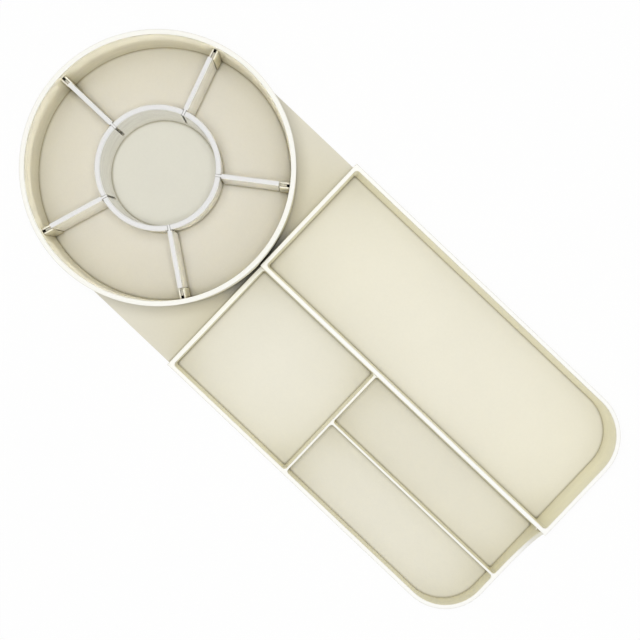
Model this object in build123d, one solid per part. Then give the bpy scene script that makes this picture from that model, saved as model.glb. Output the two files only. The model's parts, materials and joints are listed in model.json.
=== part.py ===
from build123d import *
import math
import os

# Desk organizer: a moulded tray with four open compartments and a turning pen cup beside it.
# Millimetres. X runs along the length with the cup at -X, Y points to the tall back wall, Z is up.
# The origin is under the middle of the organizer, on the desk.

# Tray
tray_floor_length = 150.3     # inside, at the floor, from cross wall to end wall
tray_floor_width = 105.4      # inside, at the floor, from front wall to back wall
tray_wall = 1.7
tray_floor_thickness = 2.2
back_depth = 61.0             # back compartment, floor to rim
front_depth = 33.0            # front compartments, floor to rim
end_corner_radius = 18.0      # inside radius of the two far corners, at the floor
inner_corner_radius = 0.8     # the other upright corners inside
wall_draft = 0.5              # degrees, on every moulded wall
cross_wall_thickness = 2.2    # wall beside the cup, at the floor
long_divider_top = 1.7        # divider between back and front, at its top
long_divider_offset = 0.5     # its middle, from the middle of the tray towards the back
cross_divider_top = 1.0
cross_divider_place = 61.4    # its middle, from the cross wall along the floor
thin_divider_top = 1.0
thin_divider_place = 26.4     # its middle, from the front wall along the floor
scoop_radius = 22.0           # hollow where the end wall comes down from the back to the front

# Platform under the cup
platform_height = 7.5         # above the underside of the base
platform_plate = 2.2
platform_rib = 1.4
platform_rib_count = 8
socket_wall = 2.2             # boss round the pivot bush
pivot_recess = 3.0            # room for washer and screw head under the boss

# Cup
cup_radius = 53.1
cup_wall = 2.0
cup_floor_thickness = 2.4
cup_depth = 92.0
cup_skirt_gap = 0.8           # between the cup's skirt and the platform
cup_wall_gap = 0.8            # between the cup and the cross wall
cup_rim_round = 0.4

# Dividers in the cup
divider_count = 5
ring_top_radius = 24.3
ring_bottom_radius = 23.7
ring_wall = 2.1
ring_height = 91.5
ring_rim_round = 0.5
slot_depth = 72.0             # slots in the ring, open at the top
plate_thickness = 1.8
plate_rim_round = 0.3
tongue_thickness = 0.8        # thinner edges of a plate, in its slot and rails
tongue_drop = 15.8            # the outer tongue starts this far below the plate's top
tongue_tip_gap = 1.3          # between the outer tongue and the cup's wall
tab_height = 5.0              # of the two inner tabs
rail_length = 4.0
rail_thickness = 0.6
rail_drop = 15.0              # rails end this far below the plates' tops
slide_clearance = 0.15        # each side of a tongue in its slot and rails
end_clearance = 0.3           # between a plate's edges and the ring, rails and slot
seat_clearance = 0.1          # under what stands on the cup's floor

# Turntable bearing and pivot
ball_diameter = 4.0
ball_count = 14
ball_circle_radius = 34.0
ball_clearance = 0.1
race_width = 7.0
race_thickness = 1.2
race_groove = 0.5
race_seat = 0.4               # how far each race is let into its seat
race_seat_clearance = 0.1
cage_width = 6.0
cage_thickness = 1.6
cage_clearance = 0.15
hub_radius = 8.0
running_clearance = 0.05
bush_wall = 2.0
bush_flange_width = 3.0
bush_flange_thickness = 1.0
washer_radius = 11.6
washer_thickness = 1.0
washer_clearance = 0.3
screw_radius = 1.75
screw_length = 9.5
screw_head_radius = 3.6
screw_head_height = 1.4
screw_slot_width = 0.9
screw_slot_depth = 0.7

# Feet
foot_radius = 6.0
foot_height = 1.5             # below the base
foot_pocket = 0.8             # depth that each foot is let into the base
foot_round = 0.4
foot_inset = 12.0             # middle of a tray foot from the outer faces
foot_boss_wall = 2.2          # wall round a platform foot
platform_foot_angle = 130.0   # degrees from +X, each side

# Heights worked out from the sizes above
base_bottom = foot_height
tray_floor = base_bottom + tray_floor_thickness
back_top = tray_floor + back_depth
front_top = tray_floor + front_depth
platform_top = base_bottom + platform_height
platform_under = platform_top - platform_plate
socket_bottom = base_bottom + pivot_recess

ball_radius = ball_diameter / 2
groove_radius = ball_radius + ball_clearance
lower_race_bottom = platform_top - race_seat
lower_race_top = lower_race_bottom + race_thickness
ball_middle = lower_race_top - race_groove + groove_radius
upper_race_bottom = ball_middle + groove_radius - race_groove
upper_race_top = upper_race_bottom + race_thickness
cup_under = upper_race_top - race_seat
cup_floor = cup_under + cup_floor_thickness
cup_rim = cup_floor + cup_depth
cup_bottom = platform_top + cup_skirt_gap
hub_bottom = socket_bottom - washer_clearance
ring_bottom = cup_floor + seat_clearance
ring_top = ring_bottom + ring_height

# Places in plan
draft_slope = math.tan(math.radians(wall_draft))
half_width = tray_floor_width / 2
platform_radius = half_width + tray_wall
cup_to_wall = cup_radius + cup_wall_gap
cup_to_end = cup_to_wall + cross_wall_thickness + tray_floor_length + tray_wall
platform_reach = platform_radius + platform_height * draft_slope
end_reach = cup_to_end + (back_top - base_bottom) * draft_slope
cup_x = (platform_reach - end_reach) / 2
cross_wall_x = cup_x + cup_to_wall
floor_start_x = cross_wall_x + cross_wall_thickness
floor_end_x = floor_start_x + tray_floor_length
end_outer_x = cup_x + cup_to_end
cross_divider_x = floor_start_x + cross_divider_place
thin_divider_y = thin_divider_place - half_width

# Divider thickness at the floor, where draft has widened it
long_divider_half = long_divider_top / 2 + back_depth * draft_slope
cross_divider_half = cross_divider_top / 2 + front_depth * draft_slope
thin_divider_half = thin_divider_top / 2 + front_depth * draft_slope
back_start_y = long_divider_offset + long_divider_half
front_end_y = long_divider_offset - long_divider_half

# Radii about the cup's axis
cup_inner_radius = cup_radius - cup_wall
rail_start = cup_inner_radius - rail_length
bush_bore = hub_radius + running_clearance
bush_radius = bush_bore + bush_wall
socket_bore = bush_radius + running_clearance
socket_radius = socket_bore + socket_wall
race_inner = ball_circle_radius - race_width / 2
race_outer = ball_circle_radius + race_width / 2
foot_boss_radius = foot_radius + foot_boss_wall
slot_half = tongue_thickness / 2 + slide_clearance
plate_inner = ring_top_radius + end_clearance
plate_outer = cup_inner_radius - tongue_tip_gap
plate_shoulder = rail_start - end_clearance
tab_tip = ring_top_radius - ring_wall
divider_angles = [180 + 360 / divider_count * step for step in range(divider_count)]

# Cutters run this far past what they cut
past = 5.0


def block(x0, x1, y0, y1, z0, z1):
    """Box between two corners."""
    corner = (Align.MIN, Align.MIN, Align.MIN)
    return Pos(x0, y0, z0) * Box(x1 - x0, y1 - y0, z1 - z0, align=corner)


def upright(r0, r1, thickness, z0, z1):
    """Flat upright plate along +X between two radii and two heights."""
    return block(r0, r1, -thickness / 2, thickness / 2, z0, z1)


def disc(radius, z0, z1):
    """Cylinder on the Z axis between two heights."""
    return Pos(0, 0, z0) * Cylinder(radius, z1 - z0, align=(Align.CENTER, Align.CENTER, Align.MIN))


def tube(outer, inner, z0, z1):
    """Hollow cylinder on the Z axis between two heights."""
    return disc(outer, z0, z1) - disc(inner, z0 - past, z1 + past)


def at_cup(shape):
    """Move a shape from the Z axis to the cup's axis."""
    return Pos(cup_x, 0, 0) * shape


def edges_at(shape, height):
    """Edges of a shape that lie flat at one height."""
    return shape.edges().filter_by(lambda edge: all(abs(v.Z - height) < 1e-4 for v in edge.vertices()))


def drafted(plan, z0, z1):
    """Solid between two heights whose plan grows upward by the draft."""
    growth = (z1 - z0) * draft_slope
    return loft([Pos(0, 0, z0) * plan(0), Pos(0, 0, z1) * plan(growth)], ruled=True)


def base_plan(growth):
    """Outline of the whole base, round under the cup, with two round corners at the far end."""
    half = platform_radius + growth
    end = end_outer_x + growth
    middle = (cup_x + end) / 2
    outline = Pos(cup_x, 0) * Circle(half) + Pos(middle, 0) * Rectangle(end - cup_x, 2 * half)
    corners = outline.vertices().group_by(Axis.X)[-1]
    return fillet(corners, end_corner_radius + tray_wall + growth)


def compartment(x0, x1, y0, y1, round_corner=None):
    """Space of one compartment; round_corner is the large corner, if it has one."""

    def plan(growth):
        size_x = x1 - x0 + 2 * growth
        size_y = y1 - y0 + 2 * growth
        outline = Pos((x0 + x1) / 2, (y0 + y1) / 2) * Rectangle(size_x, size_y)
        corners = outline.vertices()
        if round_corner is None:
            return fillet(corners, inner_corner_radius + growth)
        corners = corners.sort_by_distance(round_corner)
        outline = fillet(corners[0], end_corner_radius + growth)
        small = outline.vertices().sort_by_distance(round_corner)[2:]
        return fillet(small, inner_corner_radius + growth)

    return drafted(plan, tray_floor, back_top + past)


def front_step():
    """Space above the low front half, with the hollow left standing on the end wall."""
    front_y = -platform_radius - past

    def plan(growth):
        x0, x1 = cup_x, floor_end_x + growth
        y0, y1 = front_y, front_end_y + growth
        return Pos((x0 + x1) / 2, (y0 + y1) / 2) * Rectangle(x1 - x0, y1 - y0)

    over_floor = drafted(plan, tray_floor, back_top + past)
    below = block(cup_x - past, end_outer_x, front_y - past, half_width, base_bottom, front_top)
    over_floor -= below

    step_y = front_end_y + back_depth * draft_slope
    scoop_start = (step_y - scoop_radius, front_top)
    scoop_end = (step_y, front_top + scoop_radius)
    ceiling = back_top + past
    lines = Polyline((front_y, ceiling), (front_y, front_top), scoop_start)
    lines += TangentArc(scoop_start, scoop_end, tangent=(1, 0))
    lines += Polyline(scoop_end, (step_y, ceiling), (front_y, ceiling))
    profile = Plane.YZ * make_face(lines)
    over_end = Pos(floor_end_x, 0, 0) * extrude(profile, end_outer_x - floor_end_x + past)
    return over_floor + over_end


def tray_foot_places():
    """Middles of the four feet under the tray."""
    side = platform_radius - foot_inset
    return [(x, y) for x in (cross_wall_x + foot_inset, end_outer_x - foot_inset) for y in (-side, side)]


def platform_foot_places():
    """Middles of the two feet under the platform, each in a boss that runs into the skirt."""
    reach = platform_radius - tray_wall / 2 - foot_boss_radius
    turns = [math.radians(angle) for angle in (-platform_foot_angle, platform_foot_angle)]
    return [(cup_x + reach * math.cos(turn), reach * math.sin(turn)) for turn in turns]


def foot_places():
    """Middles of all the feet."""
    return tray_foot_places() + platform_foot_places()


def make_tray_body():
    """Tray, dividers and platform in one moulding."""
    body = drafted(base_plan, base_bottom, back_top)
    clear = platform_radius + past
    body -= block(cup_x - clear, cross_wall_x, -clear, clear, platform_top, back_top + past)
    slot_start_x = cross_divider_x + cross_divider_half
    square_end_x = cross_divider_x - cross_divider_half
    body -= compartment(floor_start_x, floor_end_x, back_start_y, half_width, (floor_end_x, half_width))
    body -= compartment(floor_start_x, square_end_x, -half_width, front_end_y)
    body -= compartment(slot_start_x, floor_end_x, thin_divider_y + thin_divider_half, front_end_y)
    slot_end_y = thin_divider_y - thin_divider_half
    body -= compartment(slot_start_x, floor_end_x, -half_width, slot_end_y, (floor_end_x, -half_width))
    body -= front_step()

    skirt_inner = platform_radius - tray_wall
    under = at_cup(disc(skirt_inner, base_bottom - past, platform_under))
    under += block(cup_x, cross_wall_x, -skirt_inner, skirt_inner, base_bottom - past, platform_under)
    body -= under
    ribs = at_cup(disc(socket_radius, socket_bottom, platform_under))
    rib = upright(0, skirt_inner + tray_wall / 2, platform_rib, socket_bottom, platform_under)
    for step in range(platform_rib_count):
        ribs += at_cup(Rot(0, 0, 360 / platform_rib_count * (step + 0.5)) * rib)
    for x, y in platform_foot_places():
        ribs += Pos(x, y, 0) * disc(foot_boss_radius, base_bottom, platform_under)
    body += ribs

    body -= at_cup(disc(socket_bore, base_bottom - past, platform_top + past))
    seat_inner = race_inner - race_seat_clearance
    seat_outer = race_outer + race_seat_clearance
    body -= at_cup(tube(seat_outer, seat_inner, lower_race_bottom, platform_top + past))
    for x, y in foot_places():
        body -= Pos(x, y, 0) * disc(foot_radius, base_bottom - past, base_bottom + foot_pocket)
    return body


def make_pen_cup():
    """Cup with its skirt, hub and guide rails, about the Z axis."""
    shell = disc(cup_radius, cup_bottom, cup_rim) - disc(cup_inner_radius, cup_floor, cup_rim + past)
    shell = fillet(edges_at(shell, cup_rim), cup_rim_round)
    shell -= disc(cup_inner_radius, cup_bottom - past, cup_under)
    shell += disc(hub_radius, hub_bottom, cup_under)
    seat_inner = race_inner - race_seat_clearance
    seat_outer = race_outer + race_seat_clearance
    shell -= tube(seat_outer, seat_inner, cup_under - past, upper_race_top)
    pilot_top = hub_bottom + screw_length - washer_thickness + 2 * running_clearance
    shell -= disc(screw_radius + running_clearance, hub_bottom - past, pilot_top)
    rail_top = ring_top - rail_drop
    rail = upright(rail_start, cup_inner_radius + cup_wall / 2, rail_thickness, cup_floor, rail_top)
    rail_side = slot_half + rail_thickness / 2
    for angle in divider_angles:
        for side in (-rail_side, rail_side):
            shell += Rot(0, 0, angle) * Pos(0, side, 0) * rail
    return shell


def make_divider_ring():
    """Tapered ring with a slot for each plate, about the Z axis."""
    base = (Align.CENTER, Align.CENTER, Align.MIN)
    outside = Cone(ring_bottom_radius, ring_top_radius, ring_height, align=base)
    inside = Cone(ring_bottom_radius - ring_wall, ring_top_radius - ring_wall, ring_height, align=base)
    ring = Pos(0, 0, ring_bottom) * (outside - inside)
    ring = fillet(edges_at(ring, ring_top), ring_rim_round)
    slot = block(0, ring_top_radius + past, -slot_half, slot_half, ring_top - slot_depth, ring_top + past)
    for angle in divider_angles:
        ring -= Rot(0, 0, angle) * slot
    return ring


def make_divider_plate():
    """Plate along +X from the Z axis, with two tabs for the ring's slot and a tongue for the rails."""
    plate = upright(plate_inner, plate_shoulder, plate_thickness, ring_bottom, ring_top)
    plate = fillet(edges_at(plate, ring_top).filter_by(Axis.X), plate_rim_round)
    low_tab = ring_top - slot_depth + end_clearance
    for bottom in (low_tab, ring_top - tab_height):
        plate += upright(tab_tip, plate_inner, tongue_thickness, bottom, bottom + tab_height)
    return plate + upright(plate_shoulder, plate_outer, tongue_thickness, ring_bottom, ring_top - tongue_drop)


def make_race(bottom, groove_middle):
    """Flat ring with a round groove, about the Z axis."""
    ring = tube(race_outer, race_inner, bottom, bottom + race_thickness)
    return ring - Pos(0, 0, groove_middle) * Torus(ball_circle_radius, groove_radius)


def on_ball_circle(shape):
    """Copies of a shape at every ball's place about the Z axis."""
    step = 360 / ball_count
    return [Rot(0, 0, step * number) * Pos(ball_circle_radius, 0, ball_middle) * shape
            for number in range(ball_count)]


def make_bearing_cage():
    """Ring with a pocket for each ball, about the Z axis."""
    half = cage_width / 2
    low = ball_middle - cage_thickness / 2
    cage = tube(ball_circle_radius + half, ball_circle_radius - half, low, low + cage_thickness)
    for pocket in on_ball_circle(Cylinder(ball_radius + cage_clearance, cage_thickness + past)):
        cage -= pocket
    return cage


def make_bearing_balls():
    """Separate steel balls in one group, about the cup's axis."""
    return Compound([at_cup(ball).solid() for ball in on_ball_circle(Sphere(ball_radius))])


def make_pivot_bush():
    """Flanged bush in the platform, about the Z axis."""
    flange_radius = bush_radius + bush_flange_width
    bush = disc(bush_radius, socket_bottom, platform_top)
    bush += disc(flange_radius, platform_top, platform_top + bush_flange_thickness)
    return bush - disc(bush_bore, socket_bottom - past, platform_top + past)


def make_pivot_washer():
    """Washer that keeps the hub in the bush, about the Z axis."""
    return tube(washer_radius, screw_radius + running_clearance, hub_bottom - washer_thickness, hub_bottom)


def make_pivot_screw():
    """Round-headed screw from below, with a cross in its head, about the Z axis."""
    head_top = hub_bottom - washer_thickness
    head_bottom = head_top - screw_head_height
    head = disc(screw_head_radius, head_bottom, head_top)
    head = fillet(edges_at(head, head_bottom), screw_head_height / 2)
    reach = screw_head_radius / 2
    half = screw_slot_width / 2
    slot = block(-reach, reach, -half, half, head_bottom - past, head_bottom + screw_slot_depth)
    head -= slot + Rot(0, 0, 90) * slot
    tip = head_top + screw_length
    shank = disc(screw_radius, head_top, tip)
    return head + chamfer(edges_at(shank, tip), screw_radius / 2)


def make_foot():
    """Rubber pad, about the Z axis."""
    pad = disc(foot_radius, 0, foot_height + foot_pocket)
    return fillet(edges_at(pad, 0), foot_round)


nodes = {
    "tray_body": make_tray_body(),
    "pen_cup": at_cup(make_pen_cup()),
    "divider_ring": at_cup(make_divider_ring()),
    "lower_race": at_cup(make_race(lower_race_bottom, ball_middle)),
    "upper_race": at_cup(make_race(upper_race_bottom, ball_middle)),
    "bearing_cage": at_cup(make_bearing_cage()),
    "bearing_balls": make_bearing_balls(),
    "pivot_bush": at_cup(make_pivot_bush()),
    "pivot_washer": at_cup(make_pivot_washer()),
    "pivot_screw": at_cup(make_pivot_screw()),
}
for number, angle in enumerate(divider_angles, 1):
    nodes[f"divider_plate_{number}"] = at_cup(Rot(0, 0, angle) * make_divider_plate())
for number, (x, y) in enumerate(foot_places(), 1):
    nodes[f"rubber_foot_{number}"] = Pos(x, y, 0) * make_foot()

os.makedirs("parts", exist_ok=True)
for name, shape in nodes.items():
    export_step(shape, f"parts/{name}.step")
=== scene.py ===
import json
import math

import bmesh
import bpy
from mathutils import Matrix, Vector


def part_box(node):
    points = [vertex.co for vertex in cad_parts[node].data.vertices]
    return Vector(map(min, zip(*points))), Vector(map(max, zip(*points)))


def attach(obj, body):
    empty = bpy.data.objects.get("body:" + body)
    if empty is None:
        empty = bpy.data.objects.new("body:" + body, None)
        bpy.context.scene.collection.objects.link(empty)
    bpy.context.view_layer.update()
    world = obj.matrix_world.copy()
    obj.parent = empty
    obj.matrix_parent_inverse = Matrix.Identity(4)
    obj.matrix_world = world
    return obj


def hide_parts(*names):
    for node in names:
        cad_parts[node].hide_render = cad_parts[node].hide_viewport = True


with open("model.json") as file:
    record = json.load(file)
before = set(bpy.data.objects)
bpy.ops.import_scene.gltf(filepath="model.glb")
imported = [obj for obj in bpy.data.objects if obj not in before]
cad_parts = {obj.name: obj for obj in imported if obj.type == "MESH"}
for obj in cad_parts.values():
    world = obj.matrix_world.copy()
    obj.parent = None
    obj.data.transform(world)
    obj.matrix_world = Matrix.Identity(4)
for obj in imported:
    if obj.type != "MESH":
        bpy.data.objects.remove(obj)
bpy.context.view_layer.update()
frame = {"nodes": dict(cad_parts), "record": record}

bl_info = {
    "name": "Desk Organizer",
    "version": (1, 0, 0),
    "blender": (4, 5, 0),
    "location": "View3D > Sidebar > Organizer",
    "description": "Finish, light and camera for a desk organizer with a turning pen cup",
    "category": "Object",
}

NODES = frame["nodes"]
BODY_OF = {node: body for body, members in frame["record"]["behaviour"]["bodies"].items() for node in members}
MM = 0.001
WHITE = (1.0, 1.0, 1.0)
# Sockets of a Mix node that mixes colours
FIRST_COLOUR = 6
SECOND_COLOUR = 7
MIXED_COLOUR = 2

# The tray's rims: height of the low ones, least fold of their edges, and slack in height
FRONT_RIM = 36.7 * MM
RIM_FOLD = math.radians(25)
RIM_SLACK = 0.05 * MM
# Short edges at the foot of the tall divider, which stay sharp
DIVIDER_FACE = -0.35 * MM
DIVIDER_FOOT = 1.6 * MM
FOOT_EDGE = 0.5 * MM
# Inner end of the scoop in the end wall, which stays sharp
SCOOP_TOP = 60.0 * MM
SCOOP_INNER = 130.3 * MM
SCOOP_DEPTH = 1.2 * MM
# The tray's mesh: points that are one, faces that are one plane, and edges that look sharp
SAME_POINT = 0.001 * MM
SAME_PLANE = math.radians(0.2)
SHARP_EDGE = math.radians(35)

# Noises: size across, detail and its roughness, and the values that most of a noise lies between
BLOTCHES = (38 * MM, 3.0, 0.5)
SPECKS = (1.1 * MM, 1.0, 0.5)
SHEEN = (9 * MM, 4.0, 0.6)
RUBS = (0.9 * MM, 2.0, 0.5)
GRAIN_DETAIL = (3.0, 0.55)
TURNING_MARKS = (0.12 * MM, 3.0, 0.6)
STEEL_HAZE = (4 * MM, 3.0, 0.5)
DUST = (2.5 * MM, 5.0, 0.65)
PAPER = (30 * MM, 4.0, 0.5)
NOISE_SPAN = (0.3, 0.7)

# Moulded plastic: tones of blotches and specks, and depth and strength of the grain on walls and on level faces
BLOTCH_TONES = (0.985, 1.012)
SPECK_TONES = (0.993, 1.005)
GRAIN_DEPTH = 0.015 * MM
GRAIN_STRENGTH = (0.02, 0.3)
# Roughness of each plastic, and how far sheen and rubbed marks change it
CREAM_GLOSS = 0.24
WHITE_GLOSS = 0.15
BEARING_GLOSS = 0.3
SHEEN_CHANGE = 0.02
RUB_CHANGE = 0.01
RUB_SPAN = (0.35, 0.65)
PLASTIC_IOR = 1.49
PLASTIC_SPECULAR = 0.42
# Tints of upright faces: painted light that makes them brighter, as if lit by light bounced between the pale
# faces
TRAY_WALL = (1.18, 1.16, 0.965)
CUP_WALL = (1.09, 1.07, 0.93)
CUP_OUTER_WALL = (1.153, 1.133, 0.936)
RING_WALL = (1.176, 1.174, 1.15)
PLATE_WALL = (1.208, 1.214, 1.26)
# Slopes of the upward part of a face's normal: upright to level, under to side, and side to top of a rim
LEVEL_SLOPE = (0.2, 0.8)
UNDER_SLOPE = (-0.6, -0.2)
RIM_SLOPE = (0.55, 0.9)
# Distances from the cup's axis that part the inside of its wall from the outside
CUP_INSIDE = 51.4 * MM
CUP_OUTSIDE = 51.8 * MM
# Painted shade on the cup's floor inside the ring, out to a circle that the ring's wall covers, and its tint
CUP_WELL = 23.0 * MM
CUP_WELL_SHADE = (0.955, 0.963, 0.928)
# Painted shade of the cup on the platform under it: heights that take in its top only, and its tint
PLATFORM_LOW = 7.0 * MM
PLATFORM_HIGH = 13.0 * MM
PLATFORM_SHADE = (0.905, 0.883, 0.808)
# Depths under a rim where its painted highlight begins and where it is full
RIM_BEGINS = 1.5 * MM
RIM_FULL = 0.8 * MM

# Painted shade of inside corners and of narrow gaps: reach, share of open sky at full shade and at none, tint
SKY_SAMPLES = 8
CREASE_SHADE = (1.1 * MM, 0.5, 0.95, (0.54, 0.51, 0.41))
GAP_REACH = 6.0 * MM
GAP_SKY = (0.06, 0.32)
GAP_TINT = (0.13, 0.12, 0.09)
# Painted shade of gaps in the ring's slots: depth under its top where the dark begins, depth of its fade, and
# distances from the cup's axis over which it ends
SLOT_SINK = 1.0 * MM
SLOT_FADE = 2.0 * MM
SLOT_REACH = (38 * MM, 42 * MM)
# Painted soft shade near a piece's own walls, given as for creases
TRAY_SHADES = (
    (16.0 * MM, 0.3, 0.7, (0.91, 0.9, 0.85)),
    (30.0 * MM, 0.3, 0.9, (0.94, 0.94, 0.935)),
)
CUP_SHADES = (
    (16.0 * MM, 0.3, 0.7, (0.78, 0.765, 0.7)),
    (40.0 * MM, 0.3, 0.85, (0.89, 0.88, 0.825)),
)

# Turned steel: tones and roughness of turning marks and haze, and depth and strength of the marks
MARK_TONES = (0.86, 1.06)
MARK_ROUGHNESS = (0.14, 0.26)
HAZE_TONES = (0.93, 1.03)
HAZE_ROUGHNESS = (0.0, 0.1)
HAZE_SPAN = (0.4, 0.7)
MARK_DEPTH = 0.01 * MM
MARK_STRENGTH = 0.4

# Rubber: size, tones, roughness, depth and strength of its pebbles, and share and colour of dust
PEBBLE_SIZE = 0.5 * MM
PEBBLE_TONES = (0.8, 1.15)
PEBBLE_ROUGHNESS = (0.72, 0.86)
PEBBLE_DEPTH = 0.06 * MM
PEBBLE_STRENGTH = 0.6
RUBBER_SPECULAR = 0.3
DUST_SHARE = (0.0, 0.35)
DUST_SPAN = (0.48, 0.75)
DUST_COLOUR = (0.16, 0.155, 0.15)

# The floor, a hair under the feet: half its width, tones of its paper, and share of plain white in view
FLOOR_REACH = 6.0
FLOOR_LEVEL = -0.02 * MM
PAPER_TONES = (0.985, 1.015)
PAPER_ROUGHNESS = 0.9
PAPER_SPECULAR = 0.1
FLOOR_WHITE = 0.95
# Light of the dome and of a softbox high above
DOME_STRENGTH = 0.49
SOFTBOX_WIDTH = 0.2
SOFTBOX_POWER = 19.0
SOFTBOX_PLACE = (-0.04, 0.0, 2.0)
# Lamps in the cup: how many, turn of the first, width, height, spread, power, depth under the rim, distance back
CUP_LAMPS = 5
CUP_LAMP_TURN = math.radians(216)
CUP_LAMP_WIDTH = 65 * MM
CUP_LAMP_HEIGHT = 36 * MM
CUP_LAMP_SPREAD = math.radians(9)
CUP_LAMP_POWER = 0.0031
CUP_LAMP_DEPTH = 20 * MM
CUP_LAMP_BACK = 36 * MM
# Light passes many times between the pale walls before it leaves the cup
MOST_BOUNCES = 32
MOST_DIFFUSE_BOUNCES = 24
# The camera, nearly straight above: place, point it looks at, direction of the picture's right, lens and sensor
CAMERA_PLACE = Vector((-0.0095, 0.0042, 1.7037))
CAMERA_AIM = Vector((0.0093, 0.0002, 0.0037))
CAMERA_RIGHT = Vector((0.7259, 0.6879, 0.0))
CAMERA_LENS = 234.3
CAMERA_SENSOR = 36.0


class OrganizerSizes(bpy.types.PropertyGroup):
    """Sizes of the finish that a user may change."""

    rim_round: bpy.props.FloatProperty(
        name="Rim round", description="Radius of the rounded edges of the tray",
        default=0.35 * MM, min=0.05 * MM, max=0.45 * MM, unit="LENGTH")
    rim_steps: bpy.props.IntProperty(
        name="Rim steps", description="Faces across one rounded edge", default=3, min=1, max=6)
    grain: bpy.props.FloatProperty(
        name="Grain", description="Size of the fine grain that the mould leaves on the plastic",
        default=0.5 * MM, min=0.1 * MM, max=5 * MM, unit="LENGTH")


class OrganizerColours(bpy.types.PropertyGroup):
    """Colours of the finishes."""

    tray: bpy.props.FloatVectorProperty(
        name="Tray plastic", description="Cream plastic of the tray", subtype="COLOR", size=3,
        default=(0.813, 0.802, 0.768), min=0, max=1)
    cup: bpy.props.FloatVectorProperty(
        name="Cup plastic", description="Cream plastic of the pen cup", subtype="COLOR", size=3,
        default=(0.832, 0.821, 0.792), min=0, max=1)
    # Paler cream of the tray's rims: a painted highlight on their tops, where light falls fully
    tray_rim_highlight: bpy.props.FloatVectorProperty(
        name="Tray rims", description="Paler cream of the tray's rims, where hands polish them",
        subtype="COLOR", size=3, default=(0.985, 0.978, 0.94), min=0, max=1)
    # Paler cream of the cup's rim: a painted highlight on its top, where light falls fully
    cup_rim_highlight: bpy.props.FloatVectorProperty(
        name="Cup rim", description="Paler cream of the cup's rim, where hands polish it",
        subtype="COLOR", size=3, default=(0.94, 0.93, 0.865), min=0, max=1)
    white: bpy.props.FloatVectorProperty(
        name="White plastic", description="Divider ring and plates", subtype="COLOR", size=3,
        default=(0.795, 0.788, 0.775), min=0, max=1)
    steel: bpy.props.FloatVectorProperty(
        name="Steel", description="Balls, races, washer and screw", subtype="COLOR", size=3,
        default=(0.62, 0.62, 0.64), min=0, max=1)
    bearing: bpy.props.FloatVectorProperty(
        name="Bearing plastic", description="Ball cage and pivot bush", subtype="COLOR", size=3,
        default=(0.82, 0.82, 0.80), min=0, max=1)
    rubber: bpy.props.FloatVectorProperty(
        name="Rubber", description="Feet", subtype="COLOR", size=3,
        default=(0.045, 0.045, 0.047), min=0, max=1)
    floor: bpy.props.FloatVectorProperty(
        name="Floor", description="Floor under the organizer", subtype="COLOR", size=3,
        default=(0.88, 0.88, 0.88), min=0, max=1)


class OrganizerSettings(bpy.types.PropertyGroup):
    """Everything that the panel shows."""

    sizes: bpy.props.PointerProperty(type=OrganizerSizes)
    colours: bpy.props.PointerProperty(type=OrganizerColours)


class Wiring:
    """Short ways to add nodes to a material or to the world."""

    def __init__(self, tree):
        self.tree = tree

    def fill(self, socket, value):
        """Put a number, a colour or another node's output into a socket."""
        if isinstance(value, bpy.types.NodeSocket):
            self.tree.links.new(value, socket)
        elif socket.type == "RGBA":
            socket.default_value = (*value, 1.0)
        else:
            socket.default_value = value

    def add(self, kind, values=None, **settings):
        """New node with its settings; values go into its inputs."""
        node = self.tree.nodes.new(kind)
        for key, value in settings.items():
            setattr(node, key, value)
        for key, value in (values or {}).items():
            self.fill(node.inputs[key], value)
        return node

    def maths(self, operation, first, second):
        """Result of one sum on two values."""
        return self.add("ShaderNodeMath", {0: first, 1: second}, operation=operation).outputs[0]

    def in_view(self):
        """1 for what is seen straight, in a reflection or through glass, and 0 for what only gives light."""
        path = self.add("ShaderNodeLightPath").outputs
        seen = self.maths("MAXIMUM", path["Is Camera Ray"], path["Is Glossy Ray"])
        return self.maths("MAXIMUM", seen, path["Is Transmission Ray"])

    def show(self, share, first, second, output):
        """Send two shaders, mixed by the second one's share, to the output."""
        mix = self.add("ShaderNodeMixShader", {"Fac": share, 1: first.outputs[0], 2: second.outputs[0]})
        self.fill(self.tree.nodes[output].inputs["Surface"], mix.outputs[0])


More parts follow.
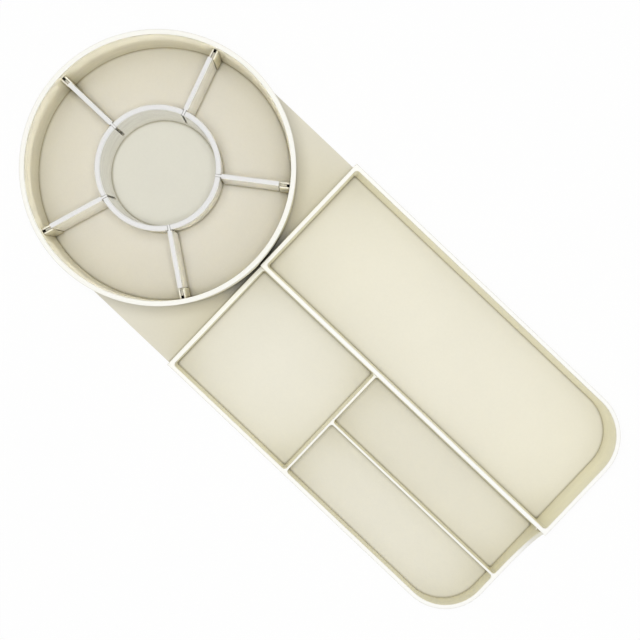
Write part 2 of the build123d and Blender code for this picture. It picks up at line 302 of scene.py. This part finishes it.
class Finish(Wiring):
    """A material and the steps that finishes are made of."""

    def __init__(self, name):
        self.material = bpy.data.materials.new(name)
        self.material.use_nodes = True
        super().__init__(self.material.node_tree)
        self.shader = self.tree.nodes["Principled BSDF"]
        coordinates = self.add("ShaderNodeTexCoord")
        self.place = coordinates.outputs["Object"]
        self.normal = coordinates.outputs["Normal"]

    def noise(self, size, detail, rough, place=None):
        """Grey noise whose blotches are about one size across."""
        values = {"Vector": place or self.place, "Scale": 1 / size, "Detail": detail, "Roughness": rough}
        return self.add("ShaderNodeTexNoise", values).outputs["Fac"]

    def between(self, factor, low, high, start=0.0, end=1.0):
        """Factor from start to end mapped to low to high, and held there."""
        values = {"Value": factor, "From Min": start, "From Max": end, "To Min": low, "To Max": high}
        return self.add("ShaderNodeMapRange", values).outputs["Result"]

    def rise(self, factor, start, end):
        """0 up to start and 1 from end on."""
        return self.between(factor, 0.0, 1.0, start, end)

    def fall(self, factor, start, end):
        """1 up to start and 0 from end on."""
        return self.between(factor, 1.0, 0.0, start, end)

    def both(self, first, second):
        """Product of two factors."""
        return self.maths("MULTIPLY", first, second)

    def tint(self, colour, factor):
        """Colour multiplied by a grey or coloured factor."""
        values = {"Factor": 1.0, FIRST_COLOUR: colour, SECOND_COLOUR: factor}
        mix = self.add("ShaderNodeMix", values, data_type="RGBA", blend_type="MULTIPLY")
        return mix.outputs[MIXED_COLOUR]

    def blend(self, factor, first, second):
        """Colour between two colours."""
        values = {"Factor": factor, FIRST_COLOUR: first, SECOND_COLOUR: second}
        return self.add("ShaderNodeMix", values, data_type="RGBA").outputs[MIXED_COLOUR]

    def bump(self, height, depth, strength):
        """Normal that a height map gives."""
        values = {"Height": height, "Distance": depth, "Strength": strength}
        return self.add("ShaderNodeBump", values).outputs["Normal"]

    def upward(self, vector):
        """Upward part of a place or a direction."""
        return self.add("ShaderNodeSeparateXYZ", {"Vector": vector}).outputs["Z"]

    def open_sky(self, reach, own=False):
        """Share of the sky that nothing within reach hides, or with own, nothing of the piece itself."""
        node = self.add("ShaderNodeAmbientOcclusion", {"Distance": reach}, samples=SKY_SAMPLES, only_local=own)
        return node.outputs["AO"]

    def about_cup(self):
        """Distance from the cup's axis."""
        low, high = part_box("pen_cup")
        middle = (low + high) / 2
        offset = self.add("ShaderNodeVectorMath", {0: self.place, 1: (-middle.x, -middle.y, 0)}).outputs[0]
        split = self.add("ShaderNodeSeparateXYZ", {"Vector": offset})
        flat = self.add("ShaderNodeCombineXYZ", {"X": split.outputs["X"], "Y": split.outputs["Y"]})
        return self.add("ShaderNodeVectorMath", {0: flat.outputs[0]}, operation="LENGTH").outputs["Value"]

    def set(self, **values):
        """Numbers and links on the shader's own sockets, with spaces for underscores."""
        for key, value in values.items():
            self.fill(self.shader.inputs[key.replace("_", " ")], value)
        return self.material


class Plastic(Finish):
    """Injection moulded plastic with faint blotches, whose colour is worked up in steps, several of which paint
    light and shade.
    """

    def __init__(self, name, colour):
        super().__init__(name)
        blotch = self.between(self.noise(*BLOTCHES), *BLOTCH_TONES, *NOISE_SPAN)
        speck = self.between(self.noise(*SPECKS), *SPECK_TONES, *NOISE_SPAN)
        self.colour = self.tint(colour, self.both(blotch, speck))
        self.up = self.upward(self.normal)
        self.height = self.upward(self.place)
        self.level = self.rise(self.maths("ABSOLUTE", self.up, 0.0), *LEVEL_SLOPE)

    def shade(self, factor, tint):
        """Tint the colour as far as the factor says."""
        self.colour = self.blend(factor, self.colour, self.tint(self.colour, tint))

    def paint_wall_light(self, tint, outer_tint=None):
        """Painted light on upright faces, brighter as if lit by bounced light, with a tint of its own for the
        outside of the cup.
        """
        wall = self.tint(self.colour, tint)
        if outer_tint is not None:
            outside = self.rise(self.about_cup(), CUP_INSIDE, CUP_OUTSIDE)
            wall = self.blend(outside, wall, self.tint(self.colour, outer_tint))
        self.colour = self.blend(self.level, wall, self.colour)

    def shade_creases(self):
        """Painted shade: dark lines in inside corners."""
        reach, full, none, tint = CREASE_SHADE
        self.shade(self.fall(self.open_sky(reach), full, none), tint)

    def shade_gaps(self, slot_top=None):
        """Painted shade in dark gaps, though not under the piece, and where a slot's top is given, only in the
        ring's slots.
        """
        gap = self.both(self.fall(self.open_sky(GAP_REACH), *GAP_SKY), self.rise(self.up, *UNDER_SLOPE))
        if slot_top is not None:
            gap = self.both(gap, self.fall(self.height, slot_top - SLOT_FADE, slot_top))
            gap = self.both(gap, self.fall(self.about_cup(), *SLOT_REACH))
        self.shade(gap, GAP_TINT)

    def shade_softly(self, shades):
        """Painted soft shade near the piece's own walls."""
        for reach, full, none, tint in shades:
            self.shade(self.fall(self.open_sky(reach, own=True), full, none), tint)

    def shade_platform(self):
        """Painted shade of the cup, darker and warmer, on top of the platform under it."""
        above = self.rise(self.height, PLATFORM_LOW - MM, PLATFORM_LOW)
        below = self.fall(self.height, PLATFORM_HIGH, PLATFORM_HIGH + MM)
        self.shade(self.both(self.both(above, below), self.level), PLATFORM_SHADE)

    def shade_well(self):
        """Painted shade on the cup's floor inside the ring, a little darker there."""
        well = self.fall(self.about_cup(), CUP_WELL - MM, CUP_WELL)
        self.shade(self.both(well, self.level), CUP_WELL_SHADE)

    def paint_rim_highlight(self, colour, height):
        """Painted highlight: paler colour on top of the rims from a height on, where light falls fully."""
        high = self.rise(self.height, height - RIM_BEGINS, height - RIM_FULL)
        self.colour = self.blend(self.both(self.rise(self.up, *RIM_SLOPE), high), self.colour, colour)

    def done(self, gloss, grain):
        """The material, with its gloss and its grain."""
        sheen = self.between(self.noise(*SHEEN), gloss - SHEEN_CHANGE, gloss + SHEEN_CHANGE, *NOISE_SPAN)
        rub = self.between(self.noise(*RUBS), -RUB_CHANGE, RUB_CHANGE, *RUB_SPAN)
        strength = self.between(self.level, *GRAIN_STRENGTH)
        normal = self.bump(self.noise(grain, *GRAIN_DETAIL), GRAIN_DEPTH, strength)
        return self.set(Base_Color=self.colour, Roughness=self.maths("ADD", sheen, rub), Normal=normal,
                        IOR=PLASTIC_IOR, Specular_IOR_Level=PLASTIC_SPECULAR)


def turned_steel(name, colour):
    """Bright steel with fine turning marks round the cup's axis."""
    finish = Finish(name)
    turns = finish.add("ShaderNodeCombineXYZ", {"X": finish.about_cup(), "Y": finish.upward(finish.place)})
    marks = finish.noise(*TURNING_MARKS, turns.outputs[0])
    haze = finish.noise(*STEEL_HAZE)
    shade = finish.tint(colour, finish.between(marks, *MARK_TONES, *NOISE_SPAN))
    shade = finish.tint(shade, finish.between(haze, *HAZE_TONES, *NOISE_SPAN))
    rough = finish.maths("ADD", finish.between(marks, *MARK_ROUGHNESS, *NOISE_SPAN),
                         finish.between(haze, *HAZE_ROUGHNESS, *HAZE_SPAN))
    return finish.set(Base_Color=shade, Roughness=rough, Metallic=1.0,
                      Normal=finish.bump(marks, MARK_DEPTH, MARK_STRENGTH))


def foot_rubber(name, colour):
    """Matt rubber with dust and a pebbled skin."""
    finish = Finish(name)
    cells = finish.add("ShaderNodeTexVoronoi", {"Vector": finish.place, "Scale": 1 / PEBBLE_SIZE})
    pebble = cells.outputs["Distance"]
    dust = finish.between(finish.noise(*DUST), *DUST_SHARE, *DUST_SPAN)
    shade = finish.tint(colour, finish.between(pebble, *PEBBLE_TONES))
    shade = finish.blend(dust, shade, DUST_COLOUR)
    return finish.set(Base_Color=shade, Roughness=finish.between(pebble, *PEBBLE_ROUGHNESS),
                      Normal=finish.bump(pebble, PEBBLE_DEPTH, PEBBLE_STRENGTH),
                      Specular_IOR_Level=RUBBER_SPECULAR)


def dress(piece, material):
    """One material all over a piece."""
    piece.data.materials.clear()
    piece.data.materials.append(material)


def carry(nodes, material):
    """Nodes of the frame shown as they are, with a new finish."""
    for node in nodes:
        dress(NODES[node], material)


def nodes_called(start):
    """Nodes of the frame whose names begin alike."""
    return [node for node in NODES if node.startswith(start)]


def settings_of(context):
    """Sizes and colours as the panel has them."""
    return context.scene.organizer.sizes, context.scene.organizer.colours


def is_rim_edge(edge):
    """Whether an edge of the tray is one of the sharp upper edges that the mould rounds."""
    if not edge.is_convex or edge.calc_face_angle(0.0) < RIM_FOLD:
        return False
    low, high = sorted(vertex.co.z for vertex in edge.verts)
    front = min(vertex.co.y for vertex in edge.verts)
    inner = max(vertex.co.x for vertex in edge.verts)
    if low < FRONT_RIM - RIM_SLACK:
        return False
    at_divider = high < FRONT_RIM + RIM_SLACK and abs(front - DIVIDER_FACE) < DIVIDER_FOOT
    foot = at_divider and edge.calc_length() < FOOT_EDGE
    scoop_end = high < SCOOP_TOP and front > DIVIDER_FACE - SCOOP_DEPTH and inner < SCOOP_INNER
    return not foot and not scoop_end


def rounded_tray(radius, steps):
    """Mesh of the tray with its rims rounded."""
    shell = bmesh.new()
    shell.from_mesh(NODES["tray_body"].data)
    bmesh.ops.remove_doubles(shell, verts=shell.verts, dist=SAME_POINT)
    bmesh.ops.dissolve_limit(shell, angle_limit=SAME_PLANE, verts=shell.verts, edges=shell.edges)
    rims = [edge for edge in shell.edges if is_rim_edge(edge)]
    bmesh.ops.bevel(shell, geom=rims, offset=radius, offset_type="OFFSET", segments=steps, profile=0.5,
                    affect="EDGES", clamp_overlap=False)
    bmesh.ops.triangulate(shell, faces=[face for face in shell.faces if len(face.verts) > 4])
    mesh = bpy.data.meshes.new("tray_shell")
    shell.to_mesh(mesh)
    shell.free()
    mesh.attributes.remove(mesh.attributes["custom_normal"])
    mesh.shade_smooth()
    mesh.set_sharp_from_angle(angle=SHARP_EDGE)
    return mesh


class ORGANIZER_OT_tray(bpy.types.Operator):
    """Finish the moulded tray"""

    bl_idname = "organizer.tray"
    bl_label = "Tray"

    def execute(self, context):
        sizes, colours = settings_of(context)
        cream = Plastic("tray_cream_plastic", colours.tray)
        cream.paint_wall_light(TRAY_WALL)
        cream.shade_creases()
        cream.shade_gaps()
        cream.shade_softly(TRAY_SHADES)
        cream.shade_platform()
        cream.paint_rim_highlight(colours.tray_rim_highlight, FRONT_RIM)
        tray = bpy.data.objects.new("tray_shell", rounded_tray(sizes.rim_round, sizes.rim_steps))
        context.scene.collection.objects.link(tray)
        dress(tray, cream.done(CREAM_GLOSS, sizes.grain))
        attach(tray, BODY_OF["tray_body"])
        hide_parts("tray_body")
        return {"FINISHED"}


class ORGANIZER_OT_pen_cup(bpy.types.Operator):
    """Finish the turning pen cup"""

    bl_idname = "organizer.pen_cup"
    bl_label = "Pen cup"

    def execute(self, context):
        sizes, colours = settings_of(context)
        cream = Plastic("cup_cream_plastic", colours.cup)
        cream.paint_wall_light(CUP_WALL, CUP_OUTER_WALL)
        cream.shade_creases()
        cream.shade_gaps()
        cream.shade_softly(CUP_SHADES)
        cream.shade_well()
        cream.paint_rim_highlight(colours.cup_rim_highlight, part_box("pen_cup")[1].z)
        carry(["pen_cup"], cream.done(CREAM_GLOSS, sizes.grain))
        return {"FINISHED"}


class ORGANIZER_OT_dividers(bpy.types.Operator):
    """Finish the divider ring and its plates"""

    bl_idname = "organizer.dividers"
    bl_label = "Divider ring and plates"

    def execute(self, context):
        carry(["divider_ring"], self.white(context, "ring_white_plastic", RING_WALL))
        carry(nodes_called("divider_plate"), self.white(context, "plate_white_plastic", PLATE_WALL))
        return {"FINISHED"}

    def white(self, context, name, wall_tint):
        """White plastic with painted light on its upright faces and painted shade in creases and in the ring's
        slots.
        """
        sizes, colours = settings_of(context)
        plastic = Plastic(name, colours.white)
        plastic.paint_wall_light(wall_tint)
        plastic.shade_creases()
        plastic.shade_gaps(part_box("divider_ring")[1].z - SLOT_SINK)
        return plastic.done(WHITE_GLOSS, sizes.grain)


class ORGANIZER_OT_turntable(bpy.types.Operator):
    """Finish the bearing and the pivot under the cup"""

    bl_idname = "organizer.turntable"
    bl_label = "Turntable"

    def execute(self, context):
        sizes, colours = settings_of(context)
        steel = turned_steel("turned_steel", colours.steel)
        slick = Plastic("bearing_plastic", colours.bearing)
        slick.shade_creases()
        slick.shade_gaps()
        carry(["lower_race", "upper_race", "bearing_balls", "pivot_washer", "pivot_screw"], steel)
        carry(["bearing_cage", "pivot_bush"], slick.done(BEARING_GLOSS, sizes.grain))
        return {"FINISHED"}


class ORGANIZER_OT_feet(bpy.types.Operator):
    """Finish the rubber feet"""

    bl_idname = "organizer.feet"
    bl_label = "Feet"

    def execute(self, context):
        colours = settings_of(context)[1]
        carry(nodes_called("rubber_foot"), foot_rubber("foot_rubber", colours.rubber))
        return {"FINISHED"}


class ORGANIZER_OT_stage(bpy.types.Operator):
    """Make the floor, the light and the camera"""

    bl_idname = "organizer.stage"
    bl_label = "Floor, light and camera"

    def execute(self, context):
        self.make_floor(context)
        self.make_dome(context)
        softbox = self.make_lamp(context, "overhead_softbox", "DISK", SOFTBOX_WIDTH, SOFTBOX_POWER)
        softbox.location = SOFTBOX_PLACE
        self.light_cup(context)
        self.make_camera(context)
        context.scene.view_settings.view_transform = "Standard"
        context.scene.cycles.max_bounces = MOST_BOUNCES
        context.scene.cycles.diffuse_bounces = MOST_DIFFUSE_BOUNCES
        return {"FINISHED"}

    def make_floor(self, context):
        """Pale paper floor that keeps the shadows and is otherwise white in view."""
        mesh = bpy.data.meshes.new("studio_floor")
        signs = ((-1, -1), (1, -1), (1, 1), (-1, 1))
        corners = [(x * FLOOR_REACH, y * FLOOR_REACH, FLOOR_LEVEL) for x, y in signs]
        mesh.from_pydata(corners, [], [(0, 1, 2, 3)])
        floor = bpy.data.objects.new("studio_floor", mesh)
        context.scene.collection.objects.link(floor)
        finish = Finish("studio_floor")
        paper = finish.between(finish.noise(*PAPER), *PAPER_TONES, *NOISE_SPAN)
        finish.set(Base_Color=finish.tint(settings_of(context)[1].floor, paper), Roughness=PAPER_ROUGHNESS,
                   Specular_IOR_Level=PAPER_SPECULAR)
        glow = finish.add("ShaderNodeEmission", {"Color": WHITE, "Strength": 1.0})
        share = finish.both(finish.in_view(), FLOOR_WHITE)
        finish.show(share, finish.shader, glow, "Material Output")
        dress(floor, finish.material)

    def make_dome(self, context):
        """Even light from all round, in front of a white backdrop."""
        world = bpy.data.worlds.new("studio_dome")
        context.scene.world = world
        world.use_nodes = True
        wiring = Wiring(world.node_tree)
        dome = world.node_tree.nodes["Background"]
        wiring.fill(dome.inputs["Color"], WHITE)
        wiring.fill(dome.inputs["Strength"], DOME_STRENGTH)
        backdrop = wiring.add("ShaderNodeBackground", {"Color": WHITE, "Strength": 1.0})
        wiring.show(wiring.in_view(), dome, backdrop, "World Output")

    def make_lamp(self, context, name, shape, width, power):
        """An area lamp that isn't seen itself."""
        data = bpy.data.lights.new(name, "AREA")
        data.shape = shape
        data.size = width
        data.energy = power
        lamp = bpy.data.objects.new(name, data)
        lamp.visible_camera = False
        lamp.visible_glossy = False
        context.scene.collection.objects.link(lamp)
        return lamp

    def light_cup(self, context):
        """Small lamps inside the cup that light a band on its wall under the rim, and nothing else."""
        low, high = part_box("pen_cup")
        middle = (low + high) / 2
        centre = Vector((middle.x, middle.y, high.z - CUP_LAMP_DEPTH))
        cup_only = bpy.data.collections.new("reflector_lights")
        cup_only.objects.link(NODES["pen_cup"])
        for number in range(CUP_LAMPS):
            turn = CUP_LAMP_TURN + math.tau * number / CUP_LAMPS
            travel = Vector((math.cos(turn), math.sin(turn), 0))
            lamp = self.make_lamp(context, "cup_reflector", "RECTANGLE", CUP_LAMP_WIDTH, CUP_LAMP_POWER)
            lamp.data.size_y = CUP_LAMP_HEIGHT
            lamp.data.spread = CUP_LAMP_SPREAD
            lamp.location = centre - CUP_LAMP_BACK * travel
            lamp.rotation_euler = travel.to_track_quat("-Z", "Y").to_euler()
            lamp.light_linking.receiver_collection = cup_only
            lamp.light_linking.blocker_collection = cup_only

    def make_camera(self, context):
        """Camera high above, turned as the picture is."""
        data = bpy.data.cameras.new("overhead_camera")
        data.sensor_width = CAMERA_SENSOR
        data.lens = CAMERA_LENS
        camera = bpy.data.objects.new("overhead_camera", data)
        back = (CAMERA_PLACE - CAMERA_AIM).normalized()
        right = (CAMERA_RIGHT - CAMERA_RIGHT.dot(back) * back).normalized()
        turn = Matrix((right, back.cross(right), back)).transposed()
        camera.matrix_world = Matrix.Translation(CAMERA_PLACE) @ turn.to_4x4()
        context.scene.collection.objects.link(camera)
        context.scene.camera = camera


OPERATORS = (
    ORGANIZER_OT_tray,
    ORGANIZER_OT_pen_cup,
    ORGANIZER_OT_dividers,
    ORGANIZER_OT_turntable,
    ORGANIZER_OT_feet,
    ORGANIZER_OT_stage,
)


class ORGANIZER_PT_panel(bpy.types.Panel):
    """Sizes, colours and steps of the organizer"""

    bl_idname = "ORGANIZER_PT_panel"
    bl_label = "Desk Organizer"
    bl_space_type = "VIEW_3D"
    bl_region_type = "UI"
    bl_category = "Organizer"

    def draw(self, context):
        for group in settings_of(context):
            box = self.layout.box()
            for key in group.__annotations__:
                box.prop(group, key)
        for operator in OPERATORS:
            self.layout.operator(operator.bl_idname)


CLASSES = (OrganizerSizes, OrganizerColours, OrganizerSettings, *OPERATORS, ORGANIZER_PT_panel)


def register():
    """Make the settings, operators and panel known."""
    for item in CLASSES:
        bpy.utils.register_class(item)
    bpy.types.Scene.organizer = bpy.props.PointerProperty(type=OrganizerSettings)


def unregister():
    """Take away what register made known."""
    del bpy.types.Scene.organizer
    for item in reversed(CLASSES):
        bpy.utils.unregister_class(item)


def main():
    """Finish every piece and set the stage."""
    register()
    for operator in OPERATORS:
        group, step = operator.bl_idname.split(".")
        getattr(getattr(bpy.ops, group), step)()


if __name__ == "__main__":
    main()
